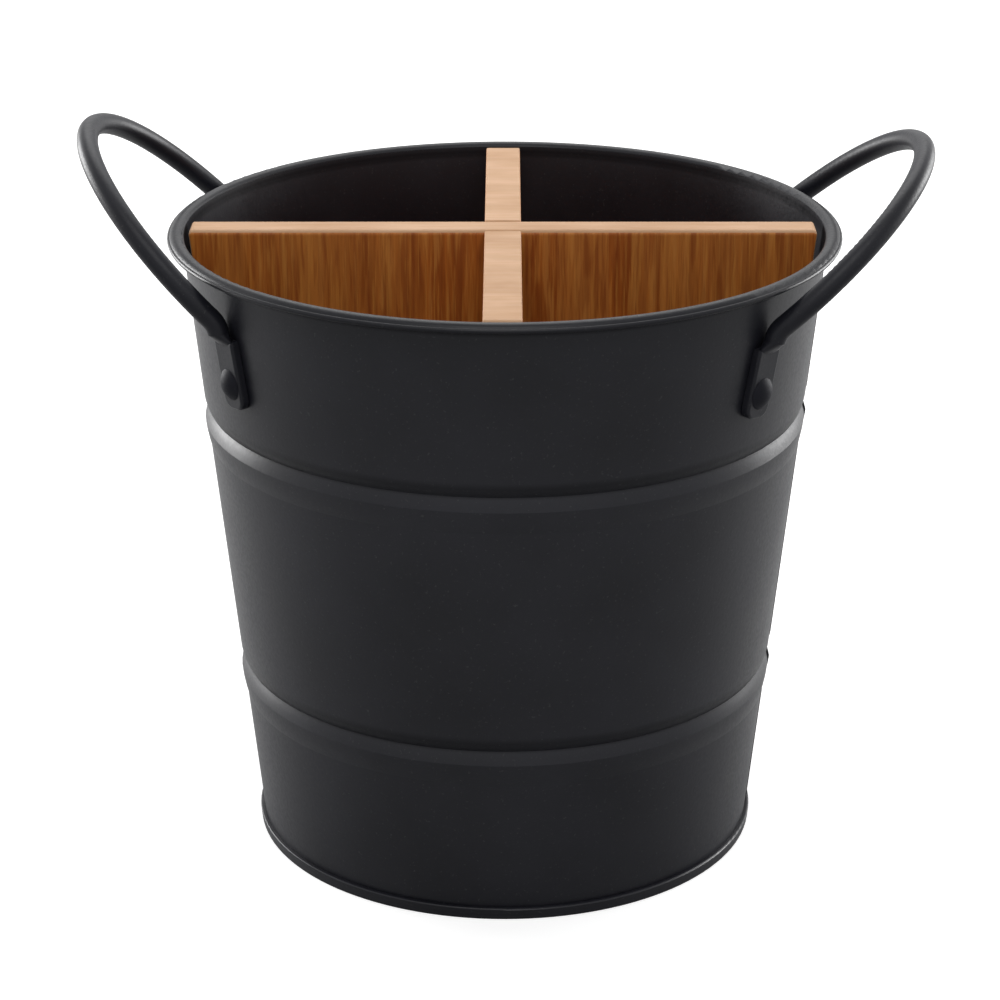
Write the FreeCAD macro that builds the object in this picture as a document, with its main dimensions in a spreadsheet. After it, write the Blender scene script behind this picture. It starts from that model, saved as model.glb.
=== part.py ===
import FreeCAD, Part, Sketcher
import math
import os

# Utensil holder: a tapered sheet-steel bucket with two riveted wire handles and a
# bamboo cross that drops in and splits it into four bays.
# Millimetres, +Z up, origin at the centre of the foot's underside.
# The handles lie to the left (-X) and right (+X), and the front is -Y.

doc = FreeCAD.newDocument("utensil_holder")

SIZES = [
    # bucket
    ("bucket_height", 154.0),
    ("wall_top_radius", 77.0),
    ("wall_base_radius", 61.0),
    ("sheet_gauge", 0.5),
    # rolled rim: a flattened roll over a doubled hem
    ("roll_proud", 3.3),
    ("roll_width", 3.85),
    ("roll_height", 2.1),
    ("roll_crown", 0.9),
    ("roll_side", 0.55),
    ("sheet_in_roll", 1.0),
    ("hem_drop", 4.0),
    ("hem_proud", 0.4),
    # swaged rings, from the top: a groove cut in from above, a rise to a low crest, a long fade
    ("upper_ring_drop", 39.0),
    ("lower_ring_top", 49.4),
    ("groove_height", 3.8),
    ("groove_depth", 0.85),
    ("groove_bulge", 0.25),
    ("rise_height", 3.3),
    ("rise_bulge", 0.06),
    ("crest_proud", 0.55),
    ("fade_height", 5.5),
    ("fade_bulge", 0.15),
    # locked side seam, on the right between the handle's rivets
    ("seam_width", 5.0),
    ("seam_proud", 0.5),
    # bottom
    ("disc_height", 3.5),
    ("disc_gauge", 0.5),
    ("foot_height", 3.0),
    ("foot_proud", 1.1),
    ("foot_round", 0.4),
    ("fold_gap", 0.05),
    # handles
    ("left_handle_turn", -0.16),
    ("right_handle_turn", -3.03),
    ("left_leg_splay", 6.0),
    ("right_leg_splay", 8.0),
    ("handle_seat_gap", 0.05),
    ("wire_radius", 2.5),
    ("bend_radius", 6.0),
    ("bend_drop", 11.35),
    ("left_loop_overhang", 21.1),
    ("right_loop_overhang", 21.6),
    ("left_loop_rise", 22.55),
    ("right_loop_rise", 19.6),
    ("paddle_width", 8.2),
    ("paddle_gauge", 2.0),
    ("paddle_tip", 6.1),
    ("paddle_tip_round", 2.8),
    ("paddle_edge_round", 0.7),
    ("paddle_blend", 3.2),
    ("blend_overlap", 1.2),
    ("blend_flat_share", 0.92),
    # rivets
    ("left_rivet_azimuth", 34.8),
    ("right_rivet_azimuth", 37.1),
    ("left_rivet_drop", 25.7),
    ("right_rivet_drop", 25.9),
    ("rivet_shank_radius", 1.9),
    ("rivet_hole_gap", 0.1),
    ("rivet_head_radius", 3.75),
    ("rivet_head_rise", 1.7),
    ("rivet_tail_radius", 3.0),
    ("rivet_tail_flat", 2.4),
    ("rivet_tail_rise", 1.1),
    ("rivet_seat_gap", 0.05),
    ("rivet_tail_gap", 0.1),
    ("drill_length", 12.0),
    # divider
    ("board_gauge", 8.7),
    ("board_drop", 0.6),
    ("board_rim_gap", 1.6),
    ("board_wall_gap", 2.6),
    ("board_floor_gap", 0.2),
    ("board_corner", 1.2),
    ("lap_gap", 0.15),
    ("divider_shift", -0.45),
]

# Radii that follow the wall's top, so the rolled rim and both loops keep to the wall.
TIED_SIZES = [
    ("rim_radius", "=wall_top_radius + roll_proud"),
    ("left_loop_reach", "=wall_top_radius + left_loop_overhang"),
    ("right_loop_reach", "=wall_top_radius + right_loop_overhang"),
]

sheet = doc.addObject("Spreadsheet::Sheet", "Sizes")
for row, (alias, number) in enumerate(SIZES + TIED_SIZES, start=1):
    sheet.set(f"A{row}", alias)
    sheet.set(f"B{row}", str(number))
    sheet.setAlias(f"B{row}", alias)
doc.recompute()


def size(alias):
    """The number in the sheet's cell of that name."""
    return float(sheet.get(alias))


def named(text):
    """An expression in which $word is the sheet's cell of that name."""
    return text.replace("$", "Sizes.")


# Expressions that several pieces share

TAPER = "(($wall_top_radius - $wall_base_radius) / $bucket_height)"
ROLL_BASE = "($bucket_height - $roll_height)"
BOARD_BASE = "($disc_height + $board_floor_gap)"
BOARD_TOP = "($bucket_height - $board_drop)"
UPPER_RING_TOP = "($bucket_height - $upper_ring_drop)"
QUARTER_ROUND_RISE = "0.2929"


def wall_at(height, offset="0"):
    """Radius of the wall's outer face at a height, plus an offset."""
    return f"($wall_base_radius + {TAPER} * ({height}) + ({offset}))"


def arc_radius(chord, rise):
    """Radius of an arc from its chord and its rise."""
    return f"(({chord})^2 / (8 * ({rise})) + ({rise}) / 2)"


def origin_feature(body, role):
    """One of a body's own origin planes or axes."""
    return next(item for item in body.Origin.OriginFeatures if item.Role == role)


def new_body(label):
    body = doc.addObject("PartDesign::Body", label)
    body.Label = label
    return body


def sketch_on(body, role, label):
    sketch = body.newObject("Sketcher::SketchObject", label)
    sketch.AttachmentSupport = [(origin_feature(body, role), "")]
    sketch.MapMode = "FlatFace"
    return sketch


def pin_point(sketch, edge, end, expressions, name):
    """Ties a corner's two coordinates to expressions of the sheet."""
    for kind, expression in zip(("DistanceX", "DistanceY"), expressions):
        number = float(sketch.evalExpression(named(expression)))
        if number >= 0:
            constraint = Sketcher.Constraint(kind, -1, 1, edge, end, number)
        else:
            constraint = Sketcher.Constraint(kind, edge, end, -1, 1, -number)
            expression = f"-({expression})"
        index = sketch.addConstraint(constraint)
        label = f"{name}_{kind[-1]}"
        sketch.renameConstraint(index, label)
        sketch.setExpression(f"Constraints.{label}", named(expression))


def draw_outline(sketch, corners):
    """Draws a closed outline through corners, each (x, y) or (x, y, chord rise).

    A corner with a rise starts an arc to the next corner. A positive rise bulges
    to the right of the way from this corner to the next, a negative one to the left.
    """
    points = []
    for corner in corners:
        x, y = (float(sketch.evalExpression(named(text))) for text in corner[:2])
        points.append(FreeCAD.Vector(x, y, 0))
    starts = []
    for index, corner in enumerate(corners):
        begin = points[index]
        finish = points[(index + 1) % len(points)]
        if len(corner) == 2:
            edge = sketch.addGeometry(Part.LineSegment(begin, finish), False)
            starts.append((edge, 1, 2))
            continue
        rise = float(sketch.evalExpression(named(corner[2])))
        along = (finish - begin).normalize()
        side = FreeCAD.Vector(along.y, -along.x, 0)
        middle = (begin + finish) * 0.5 + side * rise
        # a sketch keeps its arcs anticlockwise, so one that bulges left runs backwards
        if rise > 0:
            edge = sketch.addGeometry(Part.Arc(begin, middle, finish), False)
            starts.append((edge, 1, 2))
        else:
            edge = sketch.addGeometry(Part.Arc(finish, middle, begin), False)
            starts.append((edge, 2, 1))
    for index, (edge, begin_end, finish_end) in enumerate(starts):
        after = starts[(index + 1) % len(starts)]
        sketch.addConstraint(Sketcher.Constraint("Coincident", edge, finish_end, after[0], after[1]))
        pin_point(sketch, edge, begin_end, corners[index][:2], f"corner{index}")
        if len(corners[index]) == 3:
            here = corners[index]
            there = corners[(index + 1) % len(corners)]
            chord = f"sqrt(({there[0]} - ({here[0]}))^2 + ({there[1]} - ({here[1]}))^2)"
            radius = arc_radius(chord, f"abs({here[2]})")
            number = float(sketch.evalExpression(named(radius)))
            place = sketch.addConstraint(Sketcher.Constraint("Radius", edge, number))
            sketch.renameConstraint(place, f"arc{index}")
            sketch.setExpression(f"Constraints.arc{index}", named(radius))


def revolve(body, sketch, label, angle=None):
    """Turns a sketch round the upright axis, fully or through an angle about its plane."""
    turned = body.newObject("PartDesign::Revolution", label)
    turned.Profile = sketch
    turned.ReferenceAxis = (sketch, ["V_Axis"])
    if angle is None:
        turned.Angle = 360
    else:
        turned.Midplane = True
        turned.setExpression("Angle", named(angle))
    body.Tip = turned
    return turned


# Bucket wall: one tapered sheet with its rings, side seam and rolled rim


def ring_corners(top, offset):
    """A swaged ring on the wall's outer side, from its foot upwards."""
    corner = f"({top} - $groove_height)"
    crest = f"({corner} - $rise_height)"
    foot = f"({crest} - $fade_height)"
    return [
        (wall_at(foot, offset), foot, "$fade_bulge"),
        (wall_at(crest, f"{offset} + $crest_proud"), crest, "$rise_bulge"),
        (wall_at(corner, f"{offset} - $groove_depth"), corner, "$groove_bulge"),
        (wall_at(top, offset), top),
    ]


def ring_corners_down(top, offset):
    """The same ring on the wall's inner side, from its top downwards."""
    upward = ring_corners(top, offset)
    bulges = [corner[2] for corner in upward[:-1]]
    places = [corner[:2] for corner in upward]
    downward = [places[-1] + (f"-{bulges[2]}",)]
    downward.append(places[2] + (f"-{bulges[1]}",))
    downward.append(places[1] + (f"-{bulges[0]}",))
    downward.append(places[0])
    return downward


def sheet_outline(low, high, outer, inner):
    """Section of a strip of sheet that follows the wall and its rings."""
    corners = [(wall_at(low, outer), low)]
    corners += ring_corners("$lower_ring_top", outer)
    corners += ring_corners(UPPER_RING_TOP, outer)
    corners += [(wall_at(high, outer), high), (wall_at(high, inner), high)]
    corners += ring_corners_down(UPPER_RING_TOP, inner)
    corners += ring_corners_down("$lower_ring_top", inner)
    corners += [(wall_at(low, inner), low)]
    return corners


wall_body = new_body("wall_sheet")
wall_sketch = sketch_on(wall_body, "XZ_Plane", "wall_section")
draw_outline(
    wall_sketch,
    sheet_outline(
        "($disc_gauge + $fold_gap)",
        f"({ROLL_BASE} + $sheet_in_roll)",
        "0",
        "-$sheet_gauge",
    ),
)
revolve(wall_body, wall_sketch, "wall_turned")

roll_sketch = sketch_on(wall_body, "XZ_Plane", "roll_section")
crown_foot = "($bucket_height - $roll_crown)"
roll_shoulder = "($rim_radius - $roll_side)"
draw_outline(
    roll_sketch,
    [
        (wall_at(ROLL_BASE, "-$sheet_gauge"), ROLL_BASE),
        (roll_shoulder, ROLL_BASE, "$roll_side"),
        (roll_shoulder, crown_foot, "$roll_crown"),
        ("($rim_radius - $roll_width)", crown_foot),
    ],
)
revolve(wall_body, roll_sketch, "rim_roll")

hem_sketch = sketch_on(wall_body, "XZ_Plane", "hem_section")
hem_base = "($bucket_height - $hem_drop)"
hem_top = f"({ROLL_BASE} + $sheet_in_roll / 2)"
draw_outline(
    hem_sketch,
    [
        (wall_at(hem_base, "-$sheet_gauge / 2"), hem_base),
        (wall_at(hem_base, "$hem_proud"), hem_base),
        (wall_at(hem_top, "$hem_proud"), hem_top),
        (wall_at(hem_top, "-$sheet_gauge / 2"), hem_top),
    ],
)
revolve(wall_body, hem_sketch, "rim_hem")

seam_sketch = sketch_on(wall_body, "XZ_Plane", "seam_section")
draw_outline(
    seam_sketch,
    sheet_outline(
        "($foot_height + $foot_round)",
        ROLL_BASE,
        "$seam_proud",
        "-$sheet_gauge / 2",
    ),
)
seam_angle = f"2 * atan($seam_width / 2 / {wall_at('$bucket_height / 2')})"
revolve(wall_body, seam_sketch, "side_seam", seam_angle)

# Bottom: a recessed disc whose edge folds down, round the wall's edge and up outside

base_disc = new_body("base_disc")
disc_sketch = sketch_on(base_disc, "XZ_Plane", "disc_section")
fold_inner = "-$sheet_gauge - $fold_gap"
disc_under = "($disc_height - $disc_gauge)"
foot_rise = f"$foot_round * {QUARTER_ROUND_RISE}"
draw_outline(
    disc_sketch,
    [
        ("0", disc_under),
        (wall_at(disc_under, f"{fold_inner} - $disc_gauge"), disc_under),
        (wall_at("0", f"{fold_inner} - $disc_gauge"), "0"),
        (wall_at("0", "$foot_proud - $foot_round"), "0", foot_rise),
        (wall_at("$foot_round", "$foot_proud"), "$foot_round"),
        (wall_at("$foot_height - $foot_round", "$foot_proud"), "($foot_height - $foot_round)", foot_rise),
        (wall_at("$foot_height", "$foot_proud - $foot_round"), "$foot_height"),
        (wall_at("$foot_height", "$fold_gap"), "$foot_height"),
        (wall_at("$disc_gauge", "$fold_gap"), "$disc_gauge"),
        (wall_at("$disc_gauge", fold_inner), "$disc_gauge"),
        (wall_at("$disc_height", fold_inner), "$disc_height"),
        ("0", "$disc_height"),
    ],
)
revolve(base_disc, disc_sketch, "disc_turned")

# Where the handles meet the wall: a right-hand frame at each rivet


HEADINGS = {"left": 180.0, "right": 0.0}


def handle_heading(hand):
    """Azimuth in radians of the way that a handle points."""
    return math.radians(HEADINGS[hand] + size(f"{hand}_handle_turn"))


def rivet_frame(hand, side):
    """Point on the wall's outer face, its outward normal and the paddle's upward line."""
    azimuth = handle_heading(hand) + math.radians(size(f"{hand}_rivet_azimuth")) * side
    slope = (size("wall_top_radius") - size("wall_base_radius")) / size("bucket_height")
    lean = math.atan(slope)
    height = size("bucket_height") - size(f"{hand}_rivet_drop")
    radius = size("wall_base_radius") + slope * height
    out = FreeCAD.Vector(math.cos(azimuth), math.sin(azimuth), 0)
    point = out * radius + FreeCAD.Vector(0, 0, height)
    normal = out * math.cos(lean) - FreeCAD.Vector(0, 0, math.sin(lean))
    steepest = out * math.sin(lean) + FreeCAD.Vector(0, 0, math.cos(lean))
    # the handle's legs spread a little towards their ends
    sideways = FreeCAD.Vector(-math.sin(azimuth), math.cos(azimuth), 0) * side
    splay = math.radians(size(f"{hand}_leg_splay"))
    upward = steepest * math.cos(splay) - sideways * math.sin(splay)
    return point, normal, upward


RIVETS = {
    "rivet_right_front": ("right", -1),
    "rivet_right_back": ("right", 1),
    "rivet_left_front": ("left", 1),
    "rivet_left_back": ("left", -1),
}

# Bucket wall node: the sheet with a hole for each rivet

hole_cutters = []
for rivet_name, (hand, side) in RIVETS.items():
    point, normal, upward = rivet_frame(hand, side)
    cutter = doc.addObject("Part::Cylinder", f"hole_{rivet_name}")
    cutter.setExpression("Radius", named("$rivet_shank_radius + $rivet_hole_gap"))
    cutter.setExpression("Height", named("$drill_length"))
    start = point - normal * (size("drill_length") / 2)
    cutter.Placement = FreeCAD.Placement(start, FreeCAD.Rotation(FreeCAD.Vector(0, 0, 1), normal))
    hole_cutters.append(cutter)
all_holes = doc.addObject("Part::MultiFuse", "all_holes")
all_holes.Shapes = hole_cutters
bucket_wall = doc.addObject("Part::Cut", "bucket_wall")
bucket_wall.Base = wall_body
bucket_wall.Tool = all_holes
bucket_wall.Label = "bucket_wall"

# Rivets: domed head outside, shank through paddle and wall, flattened tail inside


def dome_rise():
    """Rise of the arc from the head's edge to its crown, whose centre is on the axis."""
    crown = "(($rivet_head_radius^2 + $rivet_head_rise^2) / (2 * $rivet_head_rise))"
    half_chord = "(sqrt($rivet_head_radius^2 + $rivet_head_rise^2) / 2)"
    return f"({crown} - sqrt({crown}^2 - {half_chord}^2))"


def rivet(label, hand, side):
    body = new_body(label)
    sketch = sketch_on(body, "XZ_Plane", f"{label}_section")
    head_seat = "($handle_seat_gap + $paddle_gauge + $rivet_seat_gap)"
    tail_seat = "(-$sheet_gauge - $rivet_tail_gap)"
    draw_outline(
        sketch,
        [
            ("0", f"{tail_seat} - $rivet_tail_rise"),
            ("$rivet_tail_flat", f"{tail_seat} - $rivet_tail_rise"),
            ("$rivet_tail_radius", tail_seat),
            ("$rivet_shank_radius", tail_seat),
            ("$rivet_shank_radius", head_seat),
            ("$rivet_head_radius", head_seat, dome_rise()),
            ("0", f"{head_seat} + $rivet_head_rise"),
        ],
    )
    revolve(body, sketch, f"{label}_turned")
    point, normal, upward = rivet_frame(hand, side)
    body.Placement = FreeCAD.Placement(point, FreeCAD.Rotation(FreeCAD.Vector(0, 0, 1), normal))
    return body


rivets = [rivet(rivet_name, hand, side) for rivet_name, (hand, side) in RIVETS.items()]

# Handles: round wire bent into a leaning loop, its ends flattened and riveted on


def ring_wire(centre, across, wide, thin, normal):
    """Closed ellipse, used as a section of the flattening wire."""
    ellipse = Part.Ellipse()
    ellipse.Center = FreeCAD.Vector(0, 0, 0)
    ellipse.MajorRadius = max(wide, thin)
    ellipse.MinorRadius = min(wide, thin)
    edge = ellipse.toShape()
    edge.Placement = FreeCAD.Placement(centre, FreeCAD.Rotation(across, normal, FreeCAD.Vector(), "XYZ"))
    return Part.Wire([edge])


def paddle(point, normal, upward, blend_end):
    """Flattened end of the wire: a round-cornered plate that lies on the wall."""
    across = upward.cross(normal)
    half = size("paddle_width") / 2
    gauge = size("paddle_gauge")
    tip = size("paddle_tip")
    corner = size("paddle_tip_round")
    inset = corner * (1 - math.cos(math.pi / 4))
    inner = point + normal * size("handle_seat_gap")

    def at(aside, along):
        return inner + across * aside + upward * along

    outline = Part.Wire([
        Part.LineSegment(at(-half, blend_end), at(half, blend_end)).toShape(),
        Part.LineSegment(at(half, blend_end), at(half, corner - tip)).toShape(),
        Part.Arc(at(half, corner - tip), at(half - inset, inset - tip), at(half - corner, -tip)).toShape(),
        Part.LineSegment(at(half - corner, -tip), at(corner - half, -tip)).toShape(),
        Part.Arc(at(corner - half, -tip), at(inset - half, inset - tip), at(-half, corner - tip)).toShape(),
        Part.LineSegment(at(-half, corner - tip), at(-half, blend_end)).toShape(),
    ])
    plate = Part.Face(outline).extrude(normal * gauge)
    outer_edges = [
        edge for edge in plate.Edges
        if all(abs((corner.Point - inner).dot(normal) - gauge) < 1e-4 for corner in edge.Vertexes)
    ]
    return plate.makeFillet(size("paddle_edge_round"), outer_edges)


def loop_frame(hand):
    """Outward and sideways directions of a handle."""
    heading = handle_heading(hand)
    out = FreeCAD.Vector(math.cos(heading), math.sin(heading), 0)
    aside = FreeCAD.Vector(-math.sin(heading), math.cos(heading), 0)
    return out, aside


def handle(label, hand):
    wire_radius = size("wire_radius")
    bend_radius = size("bend_radius")
    paddle_gauge = size("paddle_gauge")
    paddle_blend = size("paddle_blend")
    flat_share = size("blend_flat_share")
    out, aside = loop_frame(hand)
    frames = [rivet_frame(hand, side) for side in (-1, 1)]
    # the corner of the bend, on the wire's axis, one wire radius off the wall
    point, normal, upward = frames[1]
    climb = (size(f"{hand}_rivet_drop") - size("bend_drop")) / upward.z
    corner = point + normal * (wire_radius + size("handle_seat_gap")) + upward * climb
    corner_aside = corner.dot(aside)
    middle = out * corner.dot(out) + FreeCAD.Vector(0, 0, corner.z)
    crown_height = size("bucket_height") + size(f"{hand}_loop_rise")
    crown = out * size(f"{hand}_loop_reach") + FreeCAD.Vector(0, 0, crown_height)
    lean = (crown - middle).normalize()
    turn_angle = math.acos(lean.dot(upward))
    trim = bend_radius * math.tan(turn_angle / 2)
    sag = bend_radius * (1 / math.cos(turn_angle / 2) - 1)
    # half an ellipse over the two feet, above the bends
    centre = middle + lean * trim
    feet = [centre - aside * corner_aside, centre + aside * corner_aside]
    if crown.distanceToPoint(centre) > corner_aside:
        ellipse = Part.Ellipse(crown, feet[0], centre)
        arch = Part.ArcOfEllipse(ellipse, -math.pi / 2, math.pi / 2).toShape()
    else:
        ellipse = Part.Ellipse(feet[0], crown, centre)
        arch = Part.ArcOfEllipse(ellipse, 0, math.pi).toShape()
    bends = []
    lows = []
    for foot, (point, normal, upward) in zip(feet, frames):
        corner = foot - lean * trim
        low = corner - upward * trim
        inward = (lean - upward).normalize()
        bends.append(Part.Arc(low, corner + inward * sag, foot).toShape())
        lows.append(low)
    spine = Part.Wire(Part.__sortEdges__([bends[0], arch, bends[1]]))
    section = Part.Wire([Part.makeCircle(wire_radius, lows[0], frames[0][2])])
    solids = [spine.makePipeShell([section], True, True)]
    drills = []
    for low, (point, normal, upward) in zip(lows, frames):
        across = upward.cross(normal)
        flat_centre = low - upward * paddle_blend + normal * (paddle_gauge / 2 - wire_radius)
        round_end = ring_wire(low, across, wire_radius, wire_radius, normal)
        # the blend's flat end lies just inside the paddle that it runs into
        flat_end = ring_wire(flat_centre, across, flat_share * size("paddle_width") / 2,
                             flat_share * paddle_gauge / 2, normal)
        solids.append(Part.makeLoft([round_end, flat_end], True, False))
        blend_end = (flat_centre - point).dot(upward) + size("blend_overlap")
        solids.append(paddle(point, normal, upward, blend_end))
        drill_start = point - normal * (size("drill_length") / 2)
        drills.append(Part.makeCylinder(
            size("rivet_shank_radius") + size("rivet_hole_gap"), size("drill_length"), drill_start, normal))
    feature = doc.addObject("Part::Feature", label)
    feature.Shape = solids[0].multiFuse(solids[1:]).cut(drills)
    feature.Label = label
    return feature


handle_left = handle("handle_left", "left")
handle_right = handle("handle_right", "right")

# Divider: two boards with a half lap each, so that they cross flush


def board(label, plane, pad_label, slot_from_top):
    body = new_body(label)
    outline = sketch_on(body, plane, f"{label}_outline")
    half_top = "($rim_radius - $roll_width - $board_rim_gap)"
    half_base = wall_at(BOARD_BASE, "-$sheet_gauge - $board_wall_gap")
    corner_rise = f"$board_corner * {QUARTER_ROUND_RISE}"
    shoulder = f"({BOARD_TOP} - $board_corner)"
    draw_outline(
        outline,
        [
            (f"-({half_base})", BOARD_BASE),
            (half_base, BOARD_BASE),
            (half_top, shoulder, corner_rise),
            (f"({half_top} - $board_corner)", BOARD_TOP),
            (f"-({half_top} - $board_corner)", BOARD_TOP, corner_rise),
            (f"-({half_top})", shoulder),
        ],
    )
    pad = body.newObject("PartDesign::Pad", pad_label)
    pad.Profile = outline
    pad.SideType = "Symmetric"
    pad.setExpression("Length", named("$board_gauge"))
    body.Tip = pad
    doc.recompute()
    full_volume = pad.Shape.Volume
    slot = sketch_on(body, plane, f"{label}_lap")
    half_slot = "($board_gauge / 2 + $lap_gap)"
    middle = f"(({BOARD_BASE} + {BOARD_TOP}) / 2)"
    if slot_from_top:
        low = f"({middle} - $lap_gap / 2)"
        high = f"({BOARD_TOP} + $board_gauge)"
    else:
        low = "(0 - $board_gauge)"
        high = f"({middle} + $lap_gap / 2)"
    draw_outline(
        slot,
        [
            (f"-{half_slot}", low),
            (half_slot, low),
            (half_slot, high),
            (f"-{half_slot}", high),
        ],
    )
    pocket = body.newObject("PartDesign::Pocket", f"{label}_slot")
    pocket.Profile = slot
    pocket.SideType = "Symmetric"
    pocket.setExpression("Length", named("2 * $board_gauge"))
    body.Tip = pocket
    doc.recompute()
    print(label, "lap removes", round(full_volume - pocket.Shape.Volume, 1), "mm3")
    body.setExpression("Placement.Base.x", named("$divider_shift"))
    return body


divider_left_right = board("divider_left_right", "XZ_Plane", "left_right_board", False)
divider_front_back = board("divider_front_back", "YZ_Plane", "front_back_board", True)

doc.recompute()

# Check every object and piece, then write each piece's file

PIECES = [bucket_wall, base_disc, handle_left, handle_right, divider_front_back, divider_left_right]
PIECES += rivets

for item in doc.Objects:
    if "Invalid" in item.State or "Error" in item.State:
        raise RuntimeError(f"{item.Label} failed: {item.State}")

os.makedirs("parts", exist_ok=True)
for piece in PIECES:
    shape = piece.Shape
    if shape.isNull() or not shape.isValid() or len(shape.Solids) != 1:
        raise RuntimeError(f"{piece.Label} isn't one valid solid")
    box = shape.BoundBox
    print(piece.Label, "volume", round(shape.Volume, 1), "z", round(box.ZMin, 2), round(box.ZMax, 2))

for piece in PIECES:
    piece.Shape.exportStep(f"parts/{piece.Label}.step")
print("wrote", len(PIECES), "pieces")
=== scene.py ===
# %% [markdown]
# # A black bucket for kitchen utensils, with a bamboo cross
# The real object is a small tapered bucket of sheet steel under a satin black coat.
# Two wire handles are riveted to it, and two bamboo boards cross inside it.
# The engineering model comes in first as a fixed frame. Everything else is fitted to it, in
# metres.

# %% Load the frame
import bpy
import bmesh
import math
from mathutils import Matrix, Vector


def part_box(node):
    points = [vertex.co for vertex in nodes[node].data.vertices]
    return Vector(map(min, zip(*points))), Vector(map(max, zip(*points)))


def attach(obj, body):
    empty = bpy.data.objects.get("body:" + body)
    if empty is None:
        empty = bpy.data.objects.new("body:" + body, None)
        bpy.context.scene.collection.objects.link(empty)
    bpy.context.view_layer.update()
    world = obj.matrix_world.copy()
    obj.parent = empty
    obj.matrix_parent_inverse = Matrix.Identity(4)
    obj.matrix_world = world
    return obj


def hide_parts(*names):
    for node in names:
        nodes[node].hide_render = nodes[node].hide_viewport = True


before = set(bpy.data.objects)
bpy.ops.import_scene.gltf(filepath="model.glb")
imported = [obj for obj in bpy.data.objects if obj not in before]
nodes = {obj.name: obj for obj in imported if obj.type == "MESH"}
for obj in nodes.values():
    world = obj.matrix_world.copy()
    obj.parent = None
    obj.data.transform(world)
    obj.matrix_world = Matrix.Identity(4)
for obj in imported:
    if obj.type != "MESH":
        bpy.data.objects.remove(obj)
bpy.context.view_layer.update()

# %% [markdown]
# The photograph was taken with a long lens from a little above the rim.
# A camera that looks at one point of the bucket is simple to set: a distance, an elevation
# and a focal length. The small shift puts the bucket where the picture has it.

# %% Camera
AIM = Vector((0.0, 0.0, 0.080))
CAMERA_DISTANCE = 0.755
CAMERA_ELEVATION = math.radians(21.25)
CAMERA_SIDE = 0.0003
CAMERA_SHIFT = (-0.006, 0.012)
FOCAL_LENGTH = 109.8
SENSOR_WIDTH = 36.0

camera_data = bpy.data.cameras.new("camera")
camera_data.lens = FOCAL_LENGTH
camera_data.sensor_width = SENSOR_WIDTH
camera_data.shift_x, camera_data.shift_y = CAMERA_SHIFT
camera = bpy.data.objects.new("camera", camera_data)
bpy.context.scene.collection.objects.link(camera)
camera.location = AIM + Vector((
    CAMERA_SIDE,
    -CAMERA_DISTANCE * math.cos(CAMERA_ELEVATION),
    CAMERA_DISTANCE * math.sin(CAMERA_ELEVATION),
))
camera.rotation_euler = (math.pi / 2 - CAMERA_ELEVATION, 0.0, 0.0)
bpy.context.scene.camera = camera
print("camera stands", round(camera.location.z, 3), "m high")

# %% [markdown]
# Most pieces share a few jobs: turn a bmesh into an object, and build a material out of nodes.
# Short helpers keep the later cells about the bucket instead of about bookkeeping.

# %% Helpers
def finish_piece(shape, name, body, materials):
    """Makes an object of a bmesh, gives it its materials and lets it ride on a body."""
    bmesh.ops.recalc_face_normals(shape, faces=shape.faces)
    mesh = bpy.data.meshes.new(name)
    shape.to_mesh(mesh)
    shape.free()
    for material in materials:
        mesh.materials.append(material)
    piece = bpy.data.objects.new(name, mesh)
    bpy.context.scene.collection.objects.link(piece)
    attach(piece, body)
    print(name, len(mesh.polygons), "faces")
    return piece


class Finish:
    """A material with a few short calls for adding and joining nodes."""

    def __init__(self, name):
        self.material = bpy.data.materials.new(name)
        self.material.use_nodes = True
        self.nodes = self.material.node_tree.nodes
        self.links = self.material.node_tree.links
        self.shader = self.nodes["Principled BSDF"]

    def add(self, kind, inputs=None, **settings):
        node = self.nodes.new(kind)
        for key, value in settings.items():
            setattr(node, key, value)
        for key, value in (inputs or {}).items():
            self.join(value, node.inputs[key])
        return node

    def join(self, value, socket):
        if isinstance(value, bpy.types.NodeSocket):
            self.links.new(value, socket)
        else:
            socket.default_value = value

    def place(self, scale=(1.0, 1.0, 1.0), turn=0.0, move=(0.0, 0.0, 0.0)):
        """Object coordinates, turned about the upright axis and stretched."""
        coordinates = self.add("ShaderNodeTexCoord").outputs["Object"]
        mapping = self.add("ShaderNodeMapping", {
            "Vector": coordinates, "Scale": scale, "Rotation": (0.0, 0.0, turn), "Location": move})
        return mapping.outputs["Vector"]

    def noise(self, where, scale, detail=2.0, roughness=0.5):
        node = self.add("ShaderNodeTexNoise", {
            "Vector": where, "Scale": scale, "Detail": detail, "Roughness": roughness})
        return node.outputs["Fac"]

    def maths(self, kind, first, second=0.0):
        node = self.add("ShaderNodeMath", {0: first, 1: second}, operation=kind)
        return node.outputs[0]

    def span(self, value, low, high, out_low=0.0, out_high=1.0):
        """Stretches low..high of a value onto out_low..out_high."""
        node = self.add("ShaderNodeMapRange", {
            "Value": value, "From Min": low, "From Max": high,
            "To Min": out_low, "To Max": out_high})
        return node.outputs["Result"]

    def mix(self, amount, first, second):
        node = self.add("ShaderNodeMix", data_type="RGBA")
        self.join(amount, node.inputs[0])
        self.join(first, node.inputs[6])
        self.join(second, node.inputs[7])
        return node.outputs[2]

    def bump(self, height, distance, strength):
        node = self.add("ShaderNodeBump", {
            "Height": height, "Distance": distance, "Strength": strength})
        return node.outputs["Normal"]

    def set(self, **inputs):
        for key, value in inputs.items():
            self.join(value, self.shader.inputs[key.replace("_", " ")])
        return self.material
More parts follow.
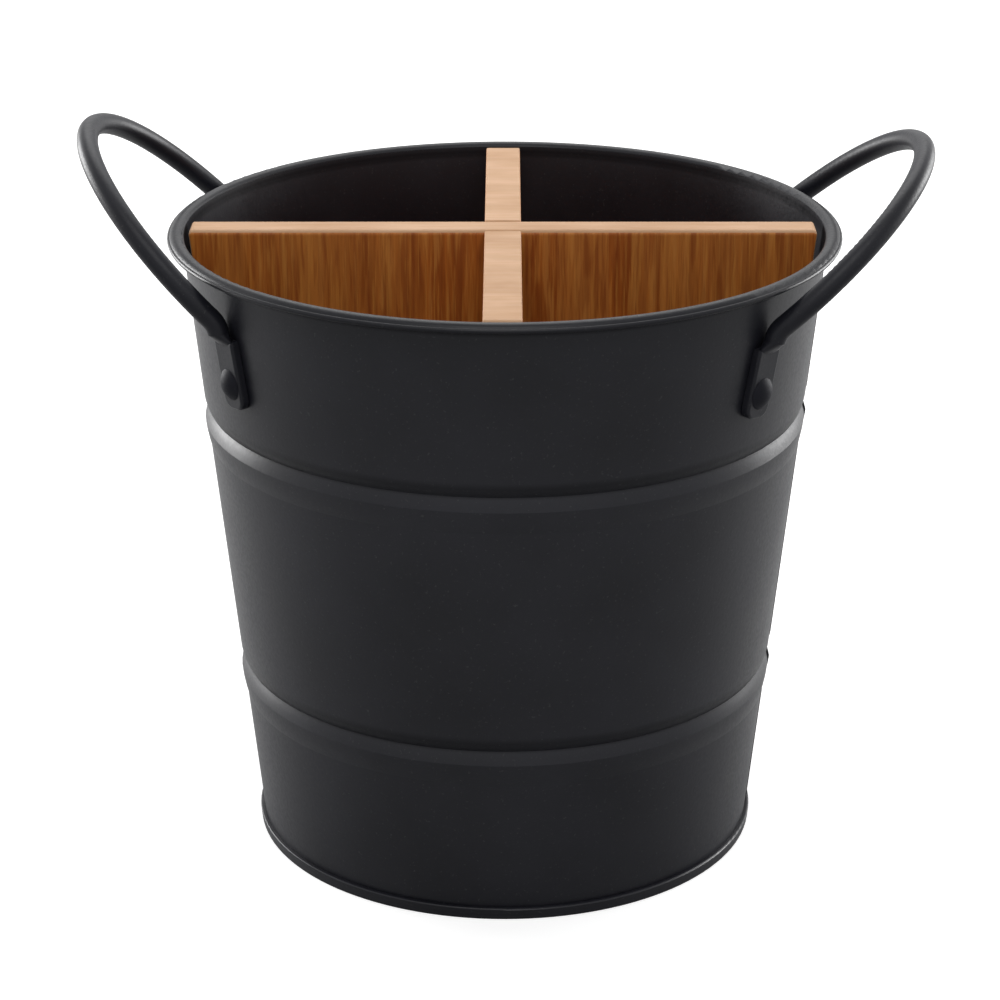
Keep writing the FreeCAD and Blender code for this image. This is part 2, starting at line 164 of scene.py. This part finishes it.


# %% [markdown]
# The steel wears a satin black powder coat. Powder melts into a skin with a very fine
# orange peel, so the sheen is broad and soft. Three noises give that: a fine one bumps the
# surface, a slow one lets colour and roughness drift, as on a coat sprayed by hand, and the
# finest one leaves a few worn specks.
# In the two swaged grooves and in the crease under the rim, shade is painted into the coat:
# it is mixed towards black and loses its shine there, so they read as dark lines; on the roll
# above, a weaker painted shade dims the coat too. Each is a band over the height that starts
# softly and ends sharply at its foot.

# %% Black coat
COAT_DARK = (0.0078, 0.0081, 0.0115, 1.0)
COAT_LIGHT = (0.0128, 0.0132, 0.0180, 1.0)
COAT_WORN = (0.045, 0.045, 0.047, 1.0)
# The near black that the painted shade in the bands mixes the coat towards.
PAINTED_SHADE_BLACK = (0.001, 0.001, 0.0012, 1.0)
NOISE_MIDDLE = (0.3, 0.7)
DRIFT_SCALE = 38.0
SPECK_SCALE = 1500.0
SPECK_SPAN = (0.66, 0.80)
SHEEN_DRIFT = (-0.04, 0.04)
PEEL_DEPTH = 0.00006
BAND_FADE_SHARE = 0.42
BAND_FOOT_BELOW = 0.0006
BAND_FOOT_ABOVE = 0.0002
# Painted shade: at these heights the coat is darkened and loses its shine, standing in for the
# shade in the grooves, the crease and on the roll.
PAINTED_SHADE_BANDS = (
    # top, foot, strength
    (0.1150, 0.1112, 0.36),
    (0.0494, 0.0456, 0.36),
    (0.1525, 0.1507, 0.40),
    (0.1560, 0.1519, 0.25),
)


def painted_shade_at_height(coat, where):
    """How strongly painted shade darkens the coat at each height, 0 for the plain wall."""
    height = coat.add("ShaderNodeSeparateXYZ", {"Vector": where}).outputs["Z"]
    total = 0.0
    for top, foot, strength in PAINTED_SHADE_BANDS:
        from_top = coat.span(height, top, top - BAND_FADE_SHARE * (top - foot))
        above_foot = coat.span(
            height, foot - BAND_FOOT_BELOW, foot + BAND_FOOT_ABOVE, 0.0, strength)
        total = coat.maths("ADD", total, coat.maths("MULTIPLY", from_top, above_foot))
    return total


def black_coat(name, peel_size, roughness, shine, with_painted_shade=False):
    """A satin black coat; only the wall's coat gets painted shade in its grooves, crease and roll.
    """
    coat = Finish(name)
    where = coat.place()
    drift = coat.noise(where, DRIFT_SCALE, 4.0)
    specks = coat.noise(where, SPECK_SCALE, 1.0)
    peel = coat.noise(where, 1.0 / peel_size, 2.0)
    colour = coat.mix(coat.span(drift, *NOISE_MIDDLE), COAT_DARK, COAT_LIGHT)
    colour = coat.mix(coat.span(specks, *SPECK_SPAN, 0.0, 0.5), colour, COAT_WORN)
    sheen = coat.maths(
        "ADD",
        coat.span(drift, *NOISE_MIDDLE, *SHEEN_DRIFT),
        coat.span(peel, *NOISE_MIDDLE, *SHEEN_DRIFT),
    )
    normal = coat.bump(peel, PEEL_DEPTH, 0.35)
    # Painted shade: darken the coat towards black and take its shine away in the bands.
    if with_painted_shade:
        shade = painted_shade_at_height(coat, where)
        colour = coat.mix(shade, colour, PAINTED_SHADE_BLACK)
        shine = coat.span(shade, 0.0, 1.0, shine, 0.0)
    return coat.set(
        Base_Color=colour,
        Roughness=coat.maths("ADD", sheen, roughness),
        Specular_IOR_Level=shine,
        Normal=normal,
    )


# The wall's coat carries the painted shade bands.
wall_coat = black_coat("wall_coat", 0.0009, 0.38, 0.28, with_painted_shade=True)
wire_coat = black_coat("wire_coat", 0.0007, 0.42, 0.20)
rivet_coat = black_coat("rivet_coat", 0.0005, 0.60, 0.10)
for name, node in nodes.items():
    if name.startswith("divider"):
        continue
    coat = wall_coat
    if name.startswith("handle"):
        coat = wire_coat
    if name.startswith("rivet"):
        coat = rivet_coat
    for place in node.material_slots:
        place.material = coat
print("coated", sum(not name.startswith("divider") for name in nodes), "steel pieces")

# %% [markdown]
# The boards are pressed from upright bamboo strips and then steamed to a caramel brown.
# Each strip has its own tone, fine dark fibres run up it, and its cut edges are paler.
# Strips come from rounding the coordinate along the board, fibres from a noise stretched
# along the grain.

# %% Bamboo
STRIP_WIDTH = 0.0062
FIBRE_SCALE = 1500.0
BAND_SCALE = 240.0
STREAK_SCALE = 620.0
STREAK_MOVE = (0.3, 0.0, 0.1)
END_FIBRE_SCALE = 900.0
END_CLOUD_SCALE = 120.0
FIBRE_DEPTH = 0.00008
END_FIBRE_DEPTH = 0.00006
FACE_DARK = (0.290, 0.060, 0.005, 1.0)
FACE_MIDDLE = (0.550, 0.155, 0.019, 1.0)
FACE_LIGHT = (0.730, 0.290, 0.058, 1.0)
EDGE_DARK = (0.520, 0.290, 0.145, 1.0)
EDGE_LIGHT = (0.660, 0.405, 0.235, 1.0)
QUARTER_TURN = math.pi / 2


def bamboo_face(name, turn):
    """A board's wide side: strips, fibres and streaks that run upright."""
    face = Finish(name)
    where = face.place(turn=turn)
    along = face.add("ShaderNodeSeparateXYZ", {"Vector": where}).outputs["X"]
    strip = face.maths("FLOOR", face.maths("DIVIDE", along, STRIP_WIDTH))
    tones = face.add("ShaderNodeTexWhiteNoise", {"W": strip}, noise_dimensions="1D")
    tone = tones.outputs["Value"]
    fibres = face.noise(face.place((1.0, 1.0, 0.045), turn), FIBRE_SCALE, 3.0)
    bands = face.noise(face.place((1.0, 1.0, 0.08), turn), BAND_SCALE, 3.0, 0.7)
    streaked = face.place((1.0, 1.0, 0.07), turn, STREAK_MOVE)
    streaks = face.noise(streaked, STREAK_SCALE, 2.0, 0.6)
    colour = face.mix(face.span(bands, 0.34, 0.62), FACE_DARK, FACE_MIDDLE)
    colour = face.mix(face.maths("MULTIPLY", tone, 0.45), colour, FACE_LIGHT)
    colour = face.mix(face.span(streaks, 0.55, 0.66, 0.0, 0.60), colour, FACE_DARK)
    colour = face.mix(face.span(streaks, 0.45, 0.34, 0.0, 0.55), colour, FACE_LIGHT)
    colour = face.mix(face.span(fibres, 0.56, 0.72, 0.0, 0.40), colour, FACE_DARK)
    colour = face.mix(face.span(fibres, 0.46, 0.30, 0.0, 0.50), colour, FACE_LIGHT)
    return face.set(
        Base_Color=colour,
        Roughness=face.span(fibres, *NOISE_MIDDLE, 0.42, 0.60),
        Specular_IOR_Level=0.4,
        Normal=face.bump(fibres, FIBRE_DEPTH, 0.4),
    )


def bamboo_edge(name, turn):
    """A board's sawn edge: paler, with the fibres cut across."""
    edge = Finish(name)
    fibres = edge.noise(edge.place((0.06, 1.0, 0.06), turn), END_FIBRE_SCALE, 3.0)
    clouds = edge.noise(edge.place((0.4, 1.0, 0.4), turn), END_CLOUD_SCALE, 3.0)
    colour = edge.mix(edge.span(clouds, *NOISE_MIDDLE), EDGE_DARK, EDGE_LIGHT)
    colour = edge.mix(edge.span(fibres, 0.55, 0.75, 0.0, 0.4), colour, EDGE_DARK)
    return edge.set(
        Base_Color=colour,
        Roughness=edge.span(fibres, *NOISE_MIDDLE, 0.50, 0.66),
        Specular_IOR_Level=0.4,
        Normal=edge.bump(fibres, END_FIBRE_DEPTH, 0.3),
    )


# %% [markdown]
# Each board is a flat plate with a notch half as deep as the board, so that two of them
# cross flush. Its outline has eight corners. Extruding that face gives the plate, and two
# bevels follow: a round one on the two outer top corners and a fine one along every edge,
# because a sawn board that hands touch is always eased.

# %% Boards
EASING = 0.0004
EASING_STEPS = 3
TOP_CORNER = 0.0012
TOP_CORNER_STEPS = 5
SHARP_ANGLE = math.radians(40.0)
FLAT_SIDE = 0.9
SAME_PLACE = 1e-5


def board_outline(mesh, low, high, middle, along, gauge, notch_at_top):
    """The board's eight corners, measured on its solid: place from its middle, and height."""
    half_top = high[along] - middle
    half_base = max(
        vertex.co[along] - middle for vertex in mesh.vertices
        if vertex.co.z < low.z + SAME_PLACE
    )
    notch = [vertex.co for vertex in mesh.vertices if abs(vertex.co[along] - middle) < gauge]
    half_notch = max(abs(corner[along] - middle) for corner in notch)
    half_way = (low.z + high.z) / 2
    notch_end = min((corner.z for corner in notch), key=lambda height: abs(height - half_way))
    if notch_at_top:
        return [
            (-half_base, low.z), (half_base, low.z), (half_top, high.z), (half_notch, high.z),
            (half_notch, notch_end), (-half_notch, notch_end), (-half_notch, high.z),
            (-half_top, high.z),
        ]
    return [
        (-half_base, low.z), (-half_notch, low.z), (-half_notch, notch_end),
        (half_notch, notch_end), (half_notch, low.z), (half_base, low.z),
        (half_top, high.z), (-half_top, high.z),
    ]


def board(node_name, name, body, along, across, turn, notch_at_top):
    """Builds a board over its solid; along and across are the numbers of its two axes."""
    low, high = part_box(node_name)
    middle = (low[along] + high[along]) / 2
    half_top = high[along] - middle
    gauge = high[across] - low[across]
    outline = board_outline(
        nodes[node_name].data, low, high, middle, along, gauge, notch_at_top)
    shape = bmesh.new()
    corners = []
    for place, height in outline:
        point = Vector((0.0, 0.0, height))
        point[along] = middle + place
        point[across] = low[across]
        corners.append(shape.verts.new(point))
    plate = shape.faces.new(corners)
    grown = bmesh.ops.extrude_face_region(shape, geom=[plate])
    moved = [item for item in grown["geom"] if isinstance(item, bmesh.types.BMVert)]
    step = Vector((0.0, 0.0, 0.0))
    step[across] = gauge
    bmesh.ops.translate(shape, verts=moved, vec=step)
    bmesh.ops.recalc_face_normals(shape, faces=shape.faces)
    corner_edges = [
        edge for edge in shape.edges
        if all(vertex.co.z > high.z - SAME_PLACE
               and abs(vertex.co[along] - middle) > half_top - SAME_PLACE
               for vertex in edge.verts)
    ]
    bmesh.ops.bevel(
        shape, geom=corner_edges, offset=TOP_CORNER, segments=TOP_CORNER_STEPS,
        profile=0.5, affect="EDGES", material=-1)
    sharp_edges = [
        edge for edge in shape.edges
        if len(edge.link_faces) == 2 and edge.calc_face_angle(0.0) > SHARP_ANGLE
    ]
    bmesh.ops.bevel(
        shape, geom=sharp_edges, offset=EASING, segments=EASING_STEPS,
        profile=0.5, affect="EDGES", material=-1)
    for face in shape.faces:
        face.material_index = 0 if abs(face.normal[across]) > FLAT_SIDE else 1
    materials = [bamboo_face(f"{name}_face", turn), bamboo_edge(f"{name}_edge", turn)]
    piece = finish_piece(shape, name, body, materials)
    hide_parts(node_name)


board("divider_front_back", "board_front_back", "front_back_board", 1, 0, QUARTER_TURN, True)
board("divider_left_right", "board_left_right", "left_right_board", 0, 1, 0.0, False)

# %% [markdown]
# The picture was taken in a white studio, with soft light from all round. It comes mainly
# from two large boxes at the sides and a little behind, which brighten the wall towards its
# edges; two weaker boxes above light the boards. The world is white to the camera and to
# reflections, and gentler to the light itself. The floor is pale and keeps the bucket's
# shadow, and a little glow that only the camera sees lifts it to white.

# %% Floor, world and lamps
FLOOR_SIZE = 6.0
FLOOR_COLOUR = (0.62, 0.62, 0.62, 1.0)
FLOOR_ROUGHNESS = 0.9
FLOOR_GLOW = 0.67
AMBIENT = 0.30
WHITE = (1.0, 1.0, 1.0, 1.0)
LAMPS = (
    # name, place, width, watts
    ("top_box", (0.0, 0.80, 1.10), 0.9, 7.0),
    ("left_box", (-1.25, 0.85, 0.22), 0.8, 28.0),
    ("right_box", (1.25, 0.85, 0.22), 0.8, 22.0),
    ("front_box", (0.0, -0.75, 1.30), 0.8, 6.0),
)

floor_shape = bmesh.new()
bmesh.ops.create_grid(floor_shape, x_segments=1, y_segments=1, size=FLOOR_SIZE / 2)
floor_mesh = bpy.data.meshes.new("floor")
floor_shape.to_mesh(floor_mesh)
floor_shape.free()
floor = bpy.data.objects.new("floor", floor_mesh)
bpy.context.scene.collection.objects.link(floor)
paper = Finish("floor_paper")
seen = paper.add("ShaderNodeLightPath").outputs["Is Camera Ray"]
paper.set(
    Base_Color=FLOOR_COLOUR,
    Roughness=FLOOR_ROUGHNESS,
    Emission_Color=WHITE,
    Emission_Strength=paper.maths("MULTIPLY", seen, FLOOR_GLOW),
)
floor_mesh.materials.append(paper.material)

world = bpy.data.worlds.new("studio")
world.use_nodes = True
bpy.context.scene.world = world
sky = world.node_tree
background = sky.nodes["Background"]
background.inputs["Color"].default_value = WHITE
rays = sky.nodes.new("ShaderNodeLightPath").outputs
any_seen = rays["Is Camera Ray"]
for ray in ("Is Glossy Ray", "Is Transmission Ray"):
    either = sky.nodes.new("ShaderNodeMath")
    either.operation = "MAXIMUM"
    sky.links.new(any_seen, either.inputs[0])
    sky.links.new(rays[ray], either.inputs[1])
    any_seen = either.outputs[0]
level = sky.nodes.new("ShaderNodeMapRange")
level.inputs["To Min"].default_value = AMBIENT
level.inputs["To Max"].default_value = 1.0
sky.links.new(any_seen, level.inputs["Value"])
sky.links.new(level.outputs["Result"], background.inputs["Strength"])


def softbox(name, place, width, watts):
    """A square lamp that points at the bucket."""
    lamp_data = bpy.data.lights.new(name, "AREA")
    lamp_data.shape = "SQUARE"
    lamp_data.size = width
    lamp_data.energy = watts
    lamp = bpy.data.objects.new(name, lamp_data)
    bpy.context.scene.collection.objects.link(lamp)
    lamp.location = place
    lamp.rotation_euler = (AIM - Vector(place)).to_track_quat("-Z", "Y").to_euler()


for lamp_row in LAMPS:
    softbox(*lamp_row)
bpy.context.scene.view_settings.view_transform = "Standard"
